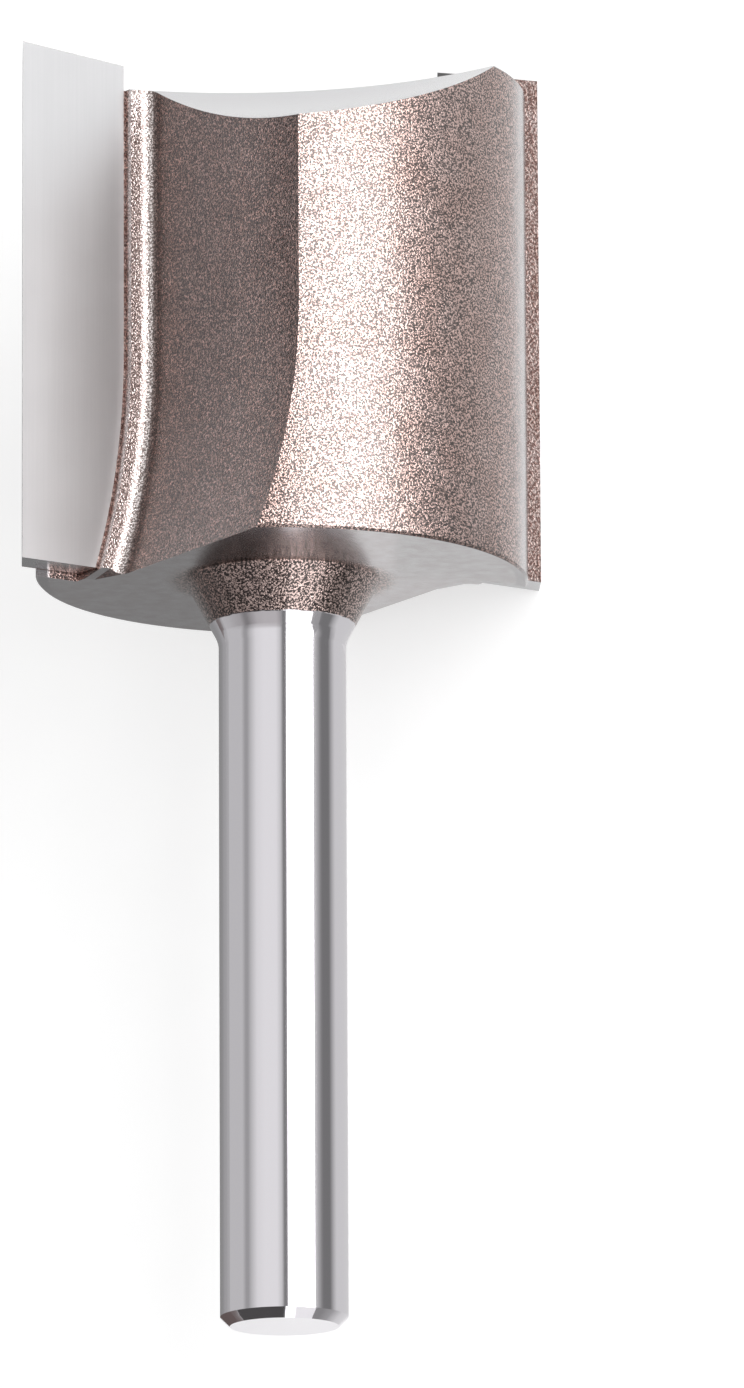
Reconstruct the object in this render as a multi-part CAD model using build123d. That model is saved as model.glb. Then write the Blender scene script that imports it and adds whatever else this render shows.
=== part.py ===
from build123d import *
import os
from math import atan2, cos, degrees, radians, sin, sqrt, tan

# Two-wing straight router bit, right-hand cutting, lying on a flat surface.
# Millimetres. The finished part has its origin at the centre of the shank's end face, +Y runs
# along the tool axis towards the cutter, and +Z is up.
#
# Everything is first drawn upright in the wing frame: Z is the tool axis, from the shank's end
# face up, X runs along wing A's rake face to its cutting edge, and Y is that face's normal,
# pointing into the gullet in front of it. What belongs to one wing is drawn once for wing A
# and copied half a turn round for wing B.

# --- driving dimensions -------------------------------------------------------------------

# shank and neck
shank_diameter = 6.0
shank_end_chamfer = 0.45
neck_cone_angle = 28.4           # between the neck's side and the axis
neck_diameter_at_head = 9.2
neck_blend_radius = 1.2          # where the neck runs into the shank

# head
underside_height = 35.5          # shank end to the flat underside of the head
head_length = 23.75              # underside to the flat top of the steel
wing_radius = 11.9               # outside of a wing
wing_offset = 0.76               # centre of that arc past the axis, which relieves the heel
wing_offset_turn = 8.6           # direction of that offset, from the rake face's normal
rim_break = 0.12                 # broken edge round the head's top and underside

# cutting edges
cutting_diameter = 25.4
cutting_length = 25.0
tip_lift = 0.35                  # underside to the lower end of the carbide
hook_angle = 16.0

# carbide plate and the silver braze that holds it
plate_thickness = 1.55
plate_inner_edge = 6.6           # from the axis, along the rake face
side_relief_angle = 31.0
top_relief_angle = 15.5
dish_angle = 4.0                 # the top edge falls towards the axis
braze_thickness = 0.1

# gullet, milled along the wing with a cutter that runs out at the underside
gullet_floor = 5.38              # from the axis
gullet_side_proud = 0.5          # its side wall stands this far in front of the rake face
gullet_root_radius = 0.6
runout_radius = 36.0
runout_depth = 1.68              # how far the floor has moved out at the underside
end_bevel_height = 0.28          # bevel at the lower end of the gullet's side wall
end_bevel_depth = 1.4            # how far back from the side wall it reaches

# top relief: each wing is ground hollow behind its top by a crowned wheel, from the heel side
relief_wheel_radius = 35.85
relief_depth = 4.85              # lowest point of the hollow, below the flat top
relief_out = 11.7                # that point's X and Y for the wing across gullet A
relief_across = 14.1

# --- sizes that follow ---------------------------------------------------------------------

shank_radius = shank_diameter / 2
neck_radius = neck_diameter_at_head / 2
head_top = underside_height + head_length
tip_radius = cutting_diameter / 2
tip_bottom = underside_height + tip_lift
tip_top = tip_bottom + cutting_length
rake_face = -tip_radius * sin(radians(hook_angle))    # its Y
tip_reach = tip_radius * cos(radians(hook_angle))     # the cutting edge's X
plate_back = rake_face - plate_thickness
seat_back = plate_back - braze_thickness
seat_inner_edge = plate_inner_edge - braze_thickness
seat_runout_radius = runout_radius + braze_thickness
gullet_side = rake_face + gullet_side_proud
runout_start = underside_height + sqrt(runout_depth * (2 * runout_radius - runout_depth))
floor_at_underside = gullet_floor + runout_depth
wing_centre_x = -wing_offset * sin(radians(wing_offset_turn))
wing_centre_y = -wing_offset * cos(radians(wing_offset_turn))
past = 3.0                                            # how far cutters run past what they cut
far_out = tip_radius + past


def for_both_wings(shape):
    """A shape of wing A and its copy at wing B."""
    return [shape, Rot(0, 0, 180) * shape]


def runout_x(straight_x, radius, height):
    """X of a milled wall that is straight down to the runout and then curves outwards."""
    drop = max(runout_start - height, 0)
    return straight_x + radius - sqrt(radius ** 2 - drop ** 2)


def milled_block(straight_x, radius, bottom, top, back, front):
    """Everything outside a milled wall, between two heights and between two values of Y."""
    end_x = runout_x(straight_x, radius, bottom)
    middle = (runout_start + bottom) / 2
    with BuildSketch(Plane.XZ) as profile:
        with BuildLine():
            Line((far_out, bottom), (far_out, top))
            Line((far_out, top), (straight_x, top))
            Line((straight_x, top), (straight_x, runout_start))
            ThreePointArc(
                (straight_x, runout_start),
                (runout_x(straight_x, radius, middle), middle),
                (end_x, bottom),
            )
            Line((end_x, bottom), (far_out, bottom))
        make_face()
    return extrude(Pos(0, back, 0) * profile.sketch, amount=front - back, dir=(0, 1, 0))


def turned_bar():
    """Shank and neck, and the core that they share with the head."""
    side = radians(neck_cone_angle)
    corner = underside_height - (neck_radius - shank_radius) / tan(side)
    blend = neck_blend_radius * tan(side / 2)
    blend_end = (shank_radius + blend * sin(side), corner + blend * cos(side))
    core_top = underside_height + head_length / 2
    with BuildSketch(Plane.XZ) as half:
        with BuildLine():
            Line((0, 0), (shank_radius - shank_end_chamfer, 0))
            Line((shank_radius - shank_end_chamfer, 0), (shank_radius, shank_end_chamfer))
            shank_side = Line((shank_radius, shank_end_chamfer), (shank_radius, corner - blend))
            TangentArc(shank_side @ 1, blend_end, tangent=shank_side % 1)
            Line(blend_end, (neck_radius, underside_height))
            Line((neck_radius, underside_height), (neck_radius, core_top))
            Line((neck_radius, core_top), (0, core_top))
            Line((0, core_top), (0, 0))
        make_face()
    return revolve(half.sketch, axis=Axis.Z)


def head_blank():
    """The head before milling: two halves, each with its arc set over to relieve the heel."""
    disc = Pos(wing_centre_x, wing_centre_y) * Circle(wing_radius)
    half = disc & Pos(0, far_out) * Rectangle(4 * far_out, 2 * far_out)
    wing = Pos(0, 0, underside_height) * extrude(half, amount=head_length)
    wing = chamfer(wing.edges().filter_by(GeomType.CIRCLE), rim_break)
    return wing + Rot(0, 0, 180) * wing


def gullet_cutter():
    """What the gullet's cutter sweeps in front of the rake face, with its rounded corner."""
    block = milled_block(
        gullet_floor, runout_radius, underside_height - past, head_top + past,
        gullet_side, gullet_side + 2 * far_out,
    )
    floor_side = (gullet_floor + far_out) / 2
    root = [
        edge for edge in block.edges()
        if abs(edge.center().Y - gullet_side) < 1e-6 and edge.center().X < floor_side
        and edge.length > past
    ]
    return fillet(root, gullet_root_radius)


def seat_cutter():
    """The seat for the carbide plate and its braze, open to the gullet."""
    return milled_block(
        seat_inner_edge, seat_runout_radius, underside_height - past, head_top + past,
        seat_back, gullet_side + gullet_root_radius,
    )


def end_bevel():
    """Bevels the lower end of the side wall, and fades out round the gullet's root."""
    seat_edge = runout_x(seat_inner_edge, seat_runout_radius, underside_height)
    back = gullet_side - end_bevel_depth
    root_width = gullet_root_radius + end_bevel_depth
    room = Box(
        seat_edge + past - floor_at_underside, root_width, 2 * root_width,
        align=(Align.MIN, Align.MIN, Align.CENTER),
    )
    floor_end = Vector(floor_at_underside, gullet_side + gullet_root_radius, underside_height)
    root_end = Vector(floor_at_underside + gullet_root_radius, gullet_side,
                      underside_height + end_bevel_height)
    back_end = Vector(root_end.X, back, underside_height)
    slope = root_end - back_end
    along_wall = slope.cross(Vector(-1, 0, 0))
    round_root = slope.cross(floor_end - root_end)
    bevel = Pos(floor_at_underside, back, underside_height) * room
    for upwards in (along_wall, round_root):
        bevel = split(bevel, Plane(origin=root_end, z_dir=upwards), keep=Keep.BOTTOM)
    return bevel


def relief_wheel():
    """The wheel that hollows the wing across gullet A, up to where plate A's seat begins."""
    lift = head_top - relief_depth + relief_wheel_radius
    wheel = Pos(relief_out, relief_across, lift) * Sphere(relief_wheel_radius)
    room = Box(
        4 * far_out, 4 * far_out, 2 * head_length,
        align=(Align.MAX, Align.CENTER, Align.CENTER),
    )
    return wheel & Pos(seat_inner_edge, 0, head_top) * room


def steel_body():
    """Shank, neck and head in one piece, with gullets, plate seats and top relief."""
    body = head_blank()
    for cutter in (gullet_cutter(), seat_cutter(), end_bevel(), relief_wheel()):
        for tool in for_both_wings(cutter):
            body -= tool
    return body + turned_bar()


def ground(block):
    """A block cut back to the plate's side and top relief, through the cutting edges."""
    tip = Vector(tip_reach, rake_face, tip_top)
    side = radians(side_relief_angle)
    dish = radians(dish_angle)
    top = radians(top_relief_angle)
    inwards = Vector(-cos(dish), 0, -sin(dish))
    backwards = Vector(0, -cos(top), -sin(top))
    block = split(block, Plane(origin=tip, z_dir=(cos(side), -sin(side), 0)), keep=Keep.BOTTOM)
    return split(block, Plane(origin=tip, z_dir=inwards.cross(backwards)), keep=Keep.BOTTOM)


def carbide_plate():
    """The cutting plate, with its inner edge shaped to the seat's runout."""
    return ground(milled_block(
        plate_inner_edge, runout_radius, tip_bottom, tip_top + past, plate_back, rake_face,
    ))


def braze_layer():
    """The silver braze behind the plate and along its inner edge."""
    behind = ground(milled_block(
        seat_inner_edge, seat_runout_radius, tip_bottom, tip_top + past, seat_back, plate_back,
    ))
    beside = milled_block(
        seat_inner_edge, seat_runout_radius, tip_bottom, head_top, plate_back, rake_face,
    )
    beside -= milled_block(
        plate_inner_edge, runout_radius, tip_bottom - past, head_top + past,
        plate_back - past, rake_face + past,
    )
    return behind + beside


def resting_turn():
    """Turn about the axis that lays cutting edge B and the heel across gullet B downwards."""
    along = floor_at_underside - wing_centre_x
    heel_y = wing_centre_y + sqrt(wing_radius ** 2 - along ** 2)
    gullet_direction = degrees(atan2(tip_reach - floor_at_underside, heel_y - rake_face))
    return 90 - (gullet_direction + 180)


def laid_down(shape):
    """An upright shape, laid on its side: the tool axis along +Y and gullet B underneath."""
    return Rot(-90, 0, 0) * Rot(0, 0, resting_turn()) * shape


def all_nodes():
    """Each piece of the bit, upright, by its name."""
    nodes = {"steel_body": steel_body()}
    for name, shape in (("carbide_tip", carbide_plate()), ("braze_layer", braze_layer())):
        for wing, copy in zip("ab", for_both_wings(shape)):
            nodes[f"{name}_{wing}"] = copy
    return nodes


if __name__ == "__main__":
    os.makedirs("parts", exist_ok=True)
    for node, piece in all_nodes().items():
        export_step(laid_down(piece), f"parts/{node}.step")
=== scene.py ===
import bpy
from math import radians
from types import SimpleNamespace
from mathutils import Matrix, Vector

# The router bit lies on its head, as it comes to rest: +Y is its axis, from the shank's end
# face towards the cutter, and +Z is up. Blender works in metres. Heights along the axis and
# distances from it are written in mm.
#
# The wings' own frame is seen along the axis: "out" runs along wing A's rake face to its cutting
# edge, so it is negative on wing B, and "forward" is how far a point lies in front of the axis,
# along the normal of its own wing's rake face.

MM = 0.001
WHITE = (1.0, 1.0, 1.0, 1.0)

FLOOR_Z = -9.897 * MM                     # the bit's lowest line at rest
POLISH_END = 33.35 * MM                   # the shank's mirror finish ends on the neck
RAKE_NORMAL = Vector((0.9219, 0.3875))    # of wing A's rake face: X and Z

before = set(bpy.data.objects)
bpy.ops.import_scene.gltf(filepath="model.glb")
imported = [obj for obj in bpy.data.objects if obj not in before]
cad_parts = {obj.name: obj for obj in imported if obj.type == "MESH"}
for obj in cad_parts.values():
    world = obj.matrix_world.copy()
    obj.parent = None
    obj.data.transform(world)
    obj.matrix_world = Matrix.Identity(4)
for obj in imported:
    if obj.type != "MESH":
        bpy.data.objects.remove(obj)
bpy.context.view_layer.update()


# --- node helpers -------------------------------------------------------------------------

class Nodes:
    """A short way to write a node tree. Most calls add a node and return its output socket."""

    def __init__(self, tree):
        self.tree = tree
        tree.nodes.clear()

    def put(self, kind, inputs=(), **settings):
        """Adds a node. An input is a socket to link or a value to set."""
        node = self.tree.nodes.new(kind)
        for key, value in settings.items():
            setattr(node, key, value)
        for key, value in dict(inputs).items():
            if isinstance(value, bpy.types.NodeSocket):
                self.tree.links.new(value, node.inputs[key])
            else:
                node.inputs[key].default_value = value
        return node

    def math(self, operation, *values, clamp=False):
        node = self.put("ShaderNodeMath", dict(enumerate(values)), operation=operation)
        node.use_clamp = clamp
        return node.outputs[0]

    def plus(self, a, b):
        return self.math("ADD", a, b)

    def times(self, first, *others):
        product = first
        for other in others:
            product = self.math("MULTIPLY", product, other)
        return product

    def step(self, value, start, end):
        """0 below start, 1 above end, smooth between. start may be the larger one."""
        node = self.put("ShaderNodeMapRange", {
            "Value": value, "From Min": start, "From Max": end, "To Min": 0.0, "To Max": 1.0,
        }, interpolation_type="SMOOTHSTEP")
        return node.outputs["Result"]

    def step_mm(self, length, start, end):
        """step for a length, with start and end in mm."""
        return self.step(length, start * MM, end * MM)

    def between(self, value, low, high):
        """value from 0 to 1 moved to the range from low to high."""
        node = self.put("ShaderNodeMapRange", {
            "Value": value, "From Min": 0.0, "From Max": 1.0, "To Min": low, "To Max": high,
        })
        return node.outputs["Result"]

    def mix(self, factor, a, b):
        node = self.put("ShaderNodeMix", {0: factor, 6: a, 7: b}, data_type="RGBA")
        return node.outputs[2]

    def multiply(self, a, b):
        """Product of two colours."""
        node = self.put("ShaderNodeMix", {0: 1.0, 6: a, 7: b}, data_type="RGBA", blend_type="MULTIPLY")
        return node.outputs[2]

    def mix_value(self, factor, a, b):
        node = self.put("ShaderNodeMix", {0: factor, 2: a, 3: b}, data_type="FLOAT")
        return node.outputs[0]

    def ramp(self, factor, stops):
        """Colours along factor, by stops of (place, colour) or (place, gray)."""
        node = self.put("ShaderNodeValToRGB", {0: factor})
        elements = node.color_ramp.elements
        while len(elements) < len(stops):
            elements.new(0.5)
        for element, (at, colour) in zip(elements, stops):
            element.position = at
            if isinstance(colour, (int, float)):
                colour = (colour, colour, colour)
            element.color = (*colour, 1.0)
        return node.outputs[0]

    def place(self):
        """Position in the row frame: an object here sits at the origin."""
        return self.put("ShaderNodeTexCoord").outputs["Object"]

    def normal(self):
        """The surface's own normal, without bump, as three numbers."""
        return self.split(self.put("ShaderNodeNewGeometry").outputs["True Normal"])

    def split(self, vector):
        """The three numbers of a vector."""
        return self.put("ShaderNodeSeparateXYZ", {0: vector}).outputs[:3]

    def scaled(self, vector, scale):
        node = self.put("ShaderNodeMapping", {"Vector": vector, "Scale": scale})
        return node.outputs[0]

    def noise(self, vector, scale, detail=2.0, rough=0.5):
        """Noise with cells of about 1/scale metres."""
        node = self.put("ShaderNodeTexNoise", {
            "Vector": vector, "Scale": scale, "Detail": detail, "Roughness": rough,
        })
        return node.outputs["Fac"]

    def bump(self, height, depth, normal=None):
        """Bump of a height from 0 to 1 that is depth metres deep."""
        inputs = {"Height": height, "Distance": depth, "Strength": 1.0}
        if normal is not None:
            inputs["Normal"] = normal
        return self.put("ShaderNodeBump", inputs).outputs[0]

    def metal(self, colour, roughness, normal, **coat):
        """Ends a material in bare metal, with a clear coat if coat gives one."""
        inputs = {"Base Color": colour, "Roughness": roughness, "Normal": normal, "Metallic": 1.0}
        for key, value in coat.items():
            inputs["Coat " + key] = value
        self.end_material(self.put("ShaderNodeBsdfPrincipled", inputs))

    def end_material(self, shader):
        self.put("ShaderNodeOutputMaterial", {"Surface": shader.outputs[0]})


def new_material(name):
    material = bpy.data.materials.new(name)
    material.use_nodes = True
    return material, Nodes(material.node_tree)


# --- materials ----------------------------------------------------------------------------

# Borders of the steel's finishes in mm, each from where its mask is 0 to where it is 1.
UNDERSIDE_HEIGHT = (35.0, 35.3)
UNDERSIDE_RADIUS = (4.7, 5.7)             # inside it the neck's blasted grain runs out
TOP_HEIGHT = (50, 51)
MARGIN_BACK = (-9.0, -6.8)                # forward: the strip behind each plate, ground with it
MARGIN_FRONT = (-5.0, -5.14)
MARGIN_RADIUS = (10.9, 11.1)
WETTED_FRONT = (-2.3, -2.6)               # forward: beside each plate, where braze has run
WETTED_BACK = (-3.3, -3.2)
WETTED_OUT = (5.0, 5.2)
NECK_HEIGHT = (35.6, 35.3)
GULLET_BACK = (-3.1, -2.6)                # forward: from the gullet's side wall on
GULLET_ROOT = (8.0, 0.5)                  # forward: the floor's painted shade deepens

# Colours of the blasted steel's grain, for its hollows and its crests. On the head each varies
# between a dark and a pale patch. WETTED and NECK give a hollow and a crest.
BLASTED_HOLLOW = ((0.088, 0.066, 0.061), (0.108, 0.086, 0.082))
BLASTED_CREST = ((0.63, 0.44, 0.395), (0.67, 0.495, 0.455))
WETTED = ((0.30, 0.24, 0.225, 1.0), (0.95, 0.87, 0.85, 1.0))
NECK = ((0.035, 0.024, 0.022, 1.0), (0.70, 0.53, 0.49, 1.0))
# the gullets' floors: a browner tint with painted shade over it, deepest at the root
TINT_AND_SHADE_AT_MOUTH = (0.94, 0.855, 0.83, 1.0)
TINT_AND_SHADE_AT_ROOT = (0.565, 0.49, 0.47, 1.0)

# Colours of the ground and the polished steel.
GRINDING_LINES = [(0.3, (0.70, 0.695, 0.705)), (0.7, (0.76, 0.755, 0.765))]
UNDERSIDE = ((0.54, 0.50, 0.505), (0.62, 0.60, 0.61))
TOP_RELIEF = (0.62, 0.615, 0.63, 1.0)
MARGIN = (0.48, 0.46, 0.47, 1.0)
POLISHED = (0.85, 0.825, 0.865, 1.0)

# Depths of the bumps.
BLASTED_DEPTH = 0.04 * MM
GRINDING_DEPTH = 0.0016 * MM
TURNING_DEPTH = 0.00012 * MM
CARBIDE_GRINDING_DEPTH = 0.0006 * MM
CARBIDE_SPECK_DEPTH = 0.0004 * MM
BRAZE_DEPTH = 0.05 * MM


def patchy(n, patch, dark, pale):
    """A colour that wanders between two along patch, a soft noise."""
    return n.ramp(patch, [(0.35, dark), (0.65, pale)])


def sand_grain(n, place, coarse_scale, fine_scale, fine_detail, fine_rough):
    """Height of a blasted surface from 0 to 1, and the fine part of it."""
    grain = n.noise(place, coarse_scale, 1.0)
    fine = n.noise(place, fine_scale, fine_detail, fine_rough)
    return n.plus(n.times(grain, 0.8), n.times(fine, 0.2)), fine


def steel_places(n):
    """Where a point of the steel body lies and which way it faces."""
    at = SimpleNamespace(place=n.place())
    x, at.y, z = n.split(at.place)
    normal_x, at.facing, normal_z = n.normal()
    at.across = n.math("SQRT", n.plus(n.times(x, x), n.times(z, z)))
    at.out = n.plus(n.times(x, -RAKE_NORMAL.y), n.times(z, RAKE_NORMAL.x))
    at.outwards = n.plus(n.times(normal_x, -RAKE_NORMAL.y), n.times(normal_z, RAKE_NORMAL.x))
    forward = n.plus(n.times(x, RAKE_NORMAL.x), n.times(z, RAKE_NORMAL.y))
    at.forward = n.times(forward, n.math("SIGN", at.out))
    # makes the borders between the finishes a little ragged
    at.wander = n.times(n.math("SUBTRACT", n.noise(at.place, 1500.0), 0.5), 0.16 * MM)
    return at


def steel_finishes(n, at):
    """Masks from 0 to 1 for the finishes: polished, blasted, and ground in three places."""
    where = SimpleNamespace()
    fade = 0.03 * MM
    where.polished = n.step(n.plus(at.y, at.wander), POLISH_END + fade, POLISH_END - fade)
    ragged_radius = n.plus(at.across, n.times(at.wander, 4.0))
    where.below = n.times(
        n.step(at.facing, -0.75, -0.9), n.step_mm(at.y, *UNDERSIDE_HEIGHT),
        n.step_mm(ragged_radius, *UNDERSIDE_RADIUS),
    )
    where.above = n.times(n.step(at.facing, 0.45, 0.6), n.step_mm(at.y, *TOP_HEIGHT))
    ragged_forward = n.plus(at.forward, n.times(at.wander, 6.0))
    where.margin = n.times(
        n.step_mm(ragged_forward, *MARGIN_BACK), n.step_mm(at.across, *MARGIN_RADIUS),
        n.step_mm(at.forward, *MARGIN_FRONT),
    )
    where.ground = n.math("MAXIMUM", n.math("MAXIMUM", where.below, where.above), where.margin)
    rest = n.math("SUBTRACT", 1.0, where.polished)
    where.blasted = n.math("SUBTRACT", rest, where.ground, clamp=True)
    return where


def blasted_colour(n, at, height):
    """Coppery brown in the hollows of the grain and bare on its crests, with painted shade on the
    gullets' floors.
    """
    patch = n.noise(at.place, 500.0)
    hollow = patchy(n, patch, *BLASTED_HOLLOW)
    crest = patchy(n, patch, *BLASTED_CREST)
    wetted = n.times(
        n.step_mm(at.forward, *WETTED_FRONT), n.step_mm(at.forward, *WETTED_BACK),
        n.step_mm(n.math("ABSOLUTE", at.out), *WETTED_OUT),
    )
    neck = n.step_mm(at.y, *NECK_HEIGHT)
    for mask, (its_hollow, its_crest) in ((wetted, WETTED), (neck, NECK)):
        hollow = n.mix(mask, hollow, its_hollow)
        crest = n.mix(mask, crest, its_crest)
    colour = n.mix(n.step(height, 0.455, 0.585), hollow, crest)

    # the gullets' floors are browner and blotched, and carry painted shade that deepens towards their
    # roots
    floor_facing = n.step(n.math("ABSOLUTE", at.outwards), 0.80, 0.90)
    gullet = n.times(floor_facing, n.step_mm(at.forward, *GULLET_BACK))
    tint_and_shade = n.mix(n.step_mm(at.forward, *GULLET_ROOT), TINT_AND_SHADE_AT_MOUTH, TINT_AND_SHADE_AT_ROOT)
    blotches = n.ramp(n.noise(at.place, 6000.0, 1.0), [(0.42, 0.45), (0.58, 1.0)])
    return n.multiply(colour, n.mix(gullet, WHITE, n.multiply(tint_and_shade, blotches)))


def ground_colour(n, at, where, lines):
    """Pale steel with the grinding lines in it, each ground place in its own shade."""
    underside = patchy(n, n.noise(at.place, 1400.0, 3.0, 0.6), *UNDERSIDE)
    colour = n.mix(where.below, n.ramp(lines, GRINDING_LINES), underside)
    colour = n.mix(where.above, colour, TOP_RELIEF)
    return n.mix(where.margin, colour, MARGIN)


def turning_lines(n, at):
    """Faint lines round the shank, and rings on its end face."""
    round_bar = n.noise(n.scaled(at.place, (30.0, 14000.0, 30.0)), 1.0)
    radius = n.put("ShaderNodeCombineXYZ", {0: n.times(at.across, 9000.0)}).outputs[0]
    end_face = n.step(at.facing, -0.9, -0.97)
    return n.mix_value(end_face, round_bar, n.noise(radius, 1.0))


def tool_steel():
    """Polished shank, sandblasted head and neck, ground underside, top relief and margins."""
    material, n = new_material("tool_steel_finish")
    at = steel_places(n)
    where = steel_finishes(n, at)
    height, fine = sand_grain(n, at.place, 10500.0, 21000.0, 1.0, 0.5)
    grinding = n.noise(n.scaled(at.place, (9000.0, 9000.0, 250.0)), 1.0, 3.0, 0.6)
    turning = turning_lines(n, at)

    colour = n.mix(where.ground, blasted_colour(n, at, height), ground_colour(n, at, where, grinding))
    colour = n.mix(where.polished, colour, POLISHED)
    roughness = n.mix_value(where.ground, n.between(fine, 0.10, 0.18), n.between(grinding, 0.16, 0.24))
    roughness = n.mix_value(where.polished, roughness, n.between(turning, 0.035, 0.06))

    bump = n.bump(n.times(height, where.blasted), BLASTED_DEPTH)
    bump = n.bump(n.times(grinding, where.ground), GRINDING_DEPTH, bump)
    bump = n.bump(n.times(turning, where.polished), TURNING_DEPTH, bump)
    n.metal(colour, roughness, bump, Weight=0.45, IOR=1.7, Roughness=0.2)
    return material


def carbide():
    """Finely ground tungsten carbide, with grinding lines along the edge."""
    material, n = new_material("carbide_finish")
    place = n.place()
    grinding = n.noise(n.scaled(place, (11000.0, 110.0, 11000.0)), 1.0, 3.0, 0.55)
    speck = n.noise(place, 5200.0)
    cloud = n.noise(place, 260.0, 3.0)
    shade = n.plus(n.times(grinding, 0.5), n.times(cloud, 0.5))
    end = n.step(n.math("ABSOLUTE", n.normal()[1]), 0.8, 0.9)
    colour = patchy(n, shade, (0.415, 0.413, 0.42), (0.44, 0.438, 0.445))
    colour = n.mix(end, colour, (0.60, 0.595, 0.605, 1.0))
    roughness = n.mix_value(end, n.between(shade, 0.40, 0.48), 0.24)
    bump = n.bump(grinding, CARBIDE_GRINDING_DEPTH, n.bump(speck, CARBIDE_SPECK_DEPTH))
    n.metal(colour, roughness, bump)
    return material


def silver_braze():
    """Rough coppery braze, blasted with the steel beside it."""
    material, n = new_material("silver_braze_finish")
    place = n.place()
    height, fine = sand_grain(n, place, 8000.0, 14000.0, 2.0, 0.6)
    patch = n.noise(place, 900.0)
    hollow = patchy(n, patch, (0.13, 0.075, 0.065), (0.17, 0.11, 0.10))
    crest = patchy(n, patch, (0.31, 0.235, 0.215), (0.35, 0.285, 0.27))
    colour = n.mix(n.step(height, 0.42, 0.60), hollow, crest)
    n.metal(colour, n.between(fine, 0.2, 0.34), n.bump(height, BRAZE_DEPTH))
    return material


def dress_bit():
    """Gives each CAD node its material."""
    plates = carbide()
    braze = silver_braze()
    finishes = {
        "steel_body": tool_steel(),
        "carbide_tip_a": plates, "carbide_tip_b": plates,
        "braze_layer_a": braze, "braze_layer_b": braze,
    }
    for name, finish in finishes.items():
        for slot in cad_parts[name].material_slots:
            slot.material = finish


# --- stage --------------------------------------------------------------------------------

# Cards over the floor, for reflections only. Each has its near and its far edge, given as y in
# mm at x = 0 and the slope that it slants by, and shades along x as (x in mm, shade).
SHANK_END = (0.0, 0.155)
CARDS = {
    "card_right": (SHANK_END, (33.4, 0.217), [
        (0, 0.65), (11.2, 0.65), (13, 0.50), (15.3, 0.28), (17.5, 0.185), (33, 0.19), (56, 0.36),
        (100, 0.50), (174, 0.62), (890, 0.75),
    ]),
    "card_head": ((34, 0.217), (90, 0.222), [
        (12.5, 0.90), (20, 0.78), (30, 0.76), (60, 0.82), (110, 0.95), (890, 1.0),
    ]),
    "card_left": (SHANK_END, (41, 0.222), [
        (-890, 0.50), (-60, 0.36), (-25, 0.27), (-9, 0.27), (-3, 0.50),
    ]),
    "card_front_right": ((-12, -1.0), SHANK_END, [
        (0, 0.75), (3, 0.70), (5, 0.45), (8, 0.26), (14, 0.26), (40, 0.35), (830, 0.55),
    ]),
    "card_front_left": ((-850, 0), SHANK_END, [
        (-890, 0.50), (-40, (0.14, 0.11, 0.105)), (-13, (0.12, 0.095, 0.09)),
    ]),
}
CARD_LIFT = 0.3 * MM

FLOOR_CORNERS = [(-900, -900, 0), (900, -900, 0), (900, 900, 0), (-900, 900, 0)]
FLAG_CORNERS = [(-60, 50, -9.5), (-60, 90, -9.5), (-60, 90, 50), (-60, 50, 50)]
FLAG_COLOUR = (0.09, 0.08, 0.08, 1.0)


def flat_panel(name, corners):
    """A stage panel with four corners, in mm."""
    mesh = bpy.data.meshes.new(name)
    mesh.from_pydata([Vector(c) * MM for c in corners], [], [(0, 1, 2, 3)])
    panel = bpy.data.objects.new(name, mesh)
    bpy.context.scene.collection.objects.link(panel)
    return panel


def floor_material():
    """Pale floor: white to the camera and pale in reflections, and it keeps the bit's shadow."""
    material, n = new_material("floor_paint")
    rays = n.put("ShaderNodeLightPath").outputs
    shade = n.ramp(n.noise(n.place(), 300.0), [(0.4, 0.50), (0.6, 0.51)])
    paint = n.put("ShaderNodeBsdfDiffuse", {"Color": shade}).outputs[0]
    seen = n.math("MAXIMUM", n.times(rays["Is Camera Ray"], 0.62), n.times(rays["Is Glossy Ray"], 0.45))
    glow = n.put("ShaderNodeEmission", {"Color": WHITE, "Strength": seen}).outputs[0]
    n.end_material(n.put("ShaderNodeAddShader", {0: paint, 1: glow}))
    return material


def add_floor():
    floor = flat_panel("floor", FLOOR_CORNERS)
    floor.location.z = FLOOR_Z
    floor.data.materials.append(floor_material())


def glowing_paper(panel):
    """Makes a panel show in reflections only, and gives the nodes of its new material."""
    for ray in ("camera", "diffuse", "shadow", "transmission", "volume_scatter"):
        setattr(panel, "visible_" + ray, False)
    material, n = new_material(panel.name + "_paper")
    panel.data.materials.append(material)
    return n


def glow(n, colour):
    n.end_material(n.put("ShaderNodeEmission", {"Color": colour, "Strength": 1.0}))


def add_card(name, near, far, shades):
    """A studio card low over the floor. Its edges slant as the bit's reflections do."""
    first, last = shades[0][0], shades[-1][0]
    corners = [
        (x, y + slope * abs(x), 0)
        for (y, slope), x in ((near, first), (near, last), (far, last), (far, first))
    ]
    panel = flat_panel(name, corners)
    panel.location.z = FLOOR_Z + CARD_LIFT
    n = glowing_paper(panel)
    x_from_first = n.math("SUBTRACT", n.split(n.place())[0], first * MM)
    along = n.math("DIVIDE", x_from_first, (last - first) * MM)
    glow(n, n.ramp(along, [((x - first) / (last - first), shade) for x, shade in shades]))


def add_flag():
    """A dark flag that stands to the left of the head and darkens the gullet."""
    glow(glowing_paper(flat_panel("flag", FLAG_CORNERS)), FLAG_COLOUR)


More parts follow.
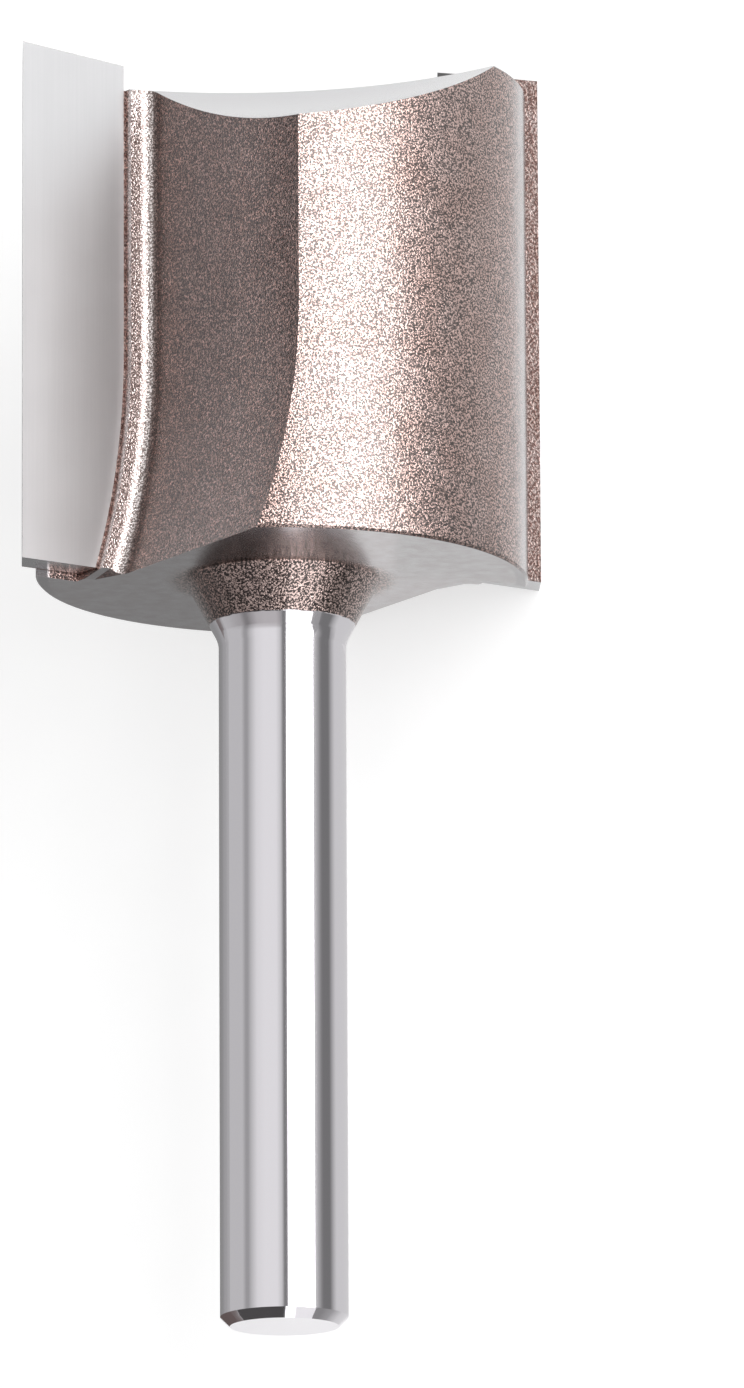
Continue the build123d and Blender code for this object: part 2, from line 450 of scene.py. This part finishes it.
# The studio is graded by the turn round the bit's axis: 0 degrees is straight up, 90 is +X.
# From the left: a pale panel, a soft box overhead, a dark gap, and the white main box.
STUDIO = [
    (-90, 0.42), (-84, 0.55), (-46, 0.55), (-38, 0.36), (-33, 0.36), (-27, 0.52), (-15, 0.76),
    (0, 0.82), (22, 0.82), (30, 0.62), (35, 0.20), (39, 0.22), (43, 1.0), (90, 1.0),
]
DARK_END = [(-40, 0.125), (36, 0.11), (40, 1.0)]     # what lies far along -Y
LOW_SHADE = (0.62, 0.60, 0.60, 1.0)                  # dims the boxes towards -Y
MAIN_CORE = 3.8                                      # added brightness of the main box
MAIN_RIM = 0.8                                       # and of its part towards -Y


def turn_ramp(n, turn, stops):
    """Shades by (degrees, shade) round the axis, for turns from -90 to 90 degrees."""
    along = n.math("ADD", n.math("DIVIDE", turn, radians(180.0)), 0.5, clamp=True)
    return n.ramp(along, [(degrees / 180 + 0.5, shade) for degrees, shade in stops])


def add_studio():
    """Soft boxes round the bit's axis, as the world's light."""
    world = bpy.data.worlds.new("studio")
    bpy.context.scene.world = world
    world.use_nodes = True
    n = Nodes(world.node_tree)
    x, y, z = n.split(n.put("ShaderNodeTexCoord").outputs["Generated"])
    turn = n.math("ARCTAN2", x, z)

    # the boxes reach to where y is about -0.8, and less far at the lower left
    cut_back = n.times(n.step(turn, radians(-50), radians(-72)), 0.22)
    near = n.step(n.math("SUBTRACT", y, cut_back), -0.81, -0.75)
    boxes = n.mix(near, turn_ramp(n, turn, DARK_END), turn_ramp(n, turn, STUDIO))
    low = n.times(n.step(y, -0.25, -0.65), n.step(turn, radians(35), radians(30)))
    boxes = n.multiply(boxes, n.mix(low, WHITE, LOW_SHADE))

    core = n.times(n.step(y, -0.22, -0.12), n.step(y, 0.62, 0.54))
    rim = n.times(n.step(y, -1.05, -0.99), n.step(y, -0.12, -0.22))
    main = n.plus(n.times(core, MAIN_CORE), n.times(rim, MAIN_RIM))
    main = n.times(main, n.step(turn, radians(40), radians(43)))
    background = n.put("ShaderNodeBackground", {"Color": boxes, "Strength": n.plus(1.0, main)})
    n.put("ShaderNodeOutputWorld", {"Surface": background.outputs[0]})


# --- camera -------------------------------------------------------------------------------

SENSOR = 36.0
IMAGE_HEIGHT = 1388
FOCAL_LENGTH = 12263.18                   # in pixels of that image

# The view, for a bit that stands upright: Z is its axis, from the shank's end, and X runs along
# rake face A to its cutting edge. In mm.
VIEW_RIGHT = Vector((0.954556, -0.298033, 0.0))
VIEW_BACKWARDS = Vector((-0.29092, -0.93180, -0.21705))
AIM_HEIGHT = 30.056
AIM_RIGHT = 4.193
DISTANCE = 575.591
ROLL = radians(-0.27)

# lays the upright bit down as it rests
LYING = Matrix.Rotation(radians(-90), 3, "X") @ Matrix.Rotation(radians(51.195), 3, "Z")


def add_camera():
    data = bpy.data.cameras.new("camera")
    data.sensor_width = SENSOR
    data.lens = FOCAL_LENGTH / IMAGE_HEIGHT * SENSOR
    data.clip_start = 0.01
    data.clip_end = 10.0
    camera = bpy.data.objects.new("camera", data)
    bpy.context.scene.collection.objects.link(camera)
    bpy.context.scene.camera = camera

    centre = Vector((0, 0, AIM_HEIGHT)) + VIEW_RIGHT * AIM_RIGHT + VIEW_BACKWARDS * DISTANCE
    roll = Matrix.Rotation(ROLL, 3, VIEW_BACKWARDS)
    upright = (VIEW_RIGHT, VIEW_BACKWARDS.cross(VIEW_RIGHT), VIEW_BACKWARDS)
    pose = Matrix([LYING @ (roll @ axis) for axis in upright]).transposed().to_4x4()
    pose.translation = (LYING @ centre) * MM
    camera.matrix_world = pose


dress_bit()
add_floor()
for card_name, (near_edge, far_edge, card_shades) in CARDS.items():
    add_card(card_name, near_edge, far_edge, card_shades)
add_flag()
add_studio()
add_camera()

scene = bpy.context.scene
scene.view_settings.view_transform = "Standard"
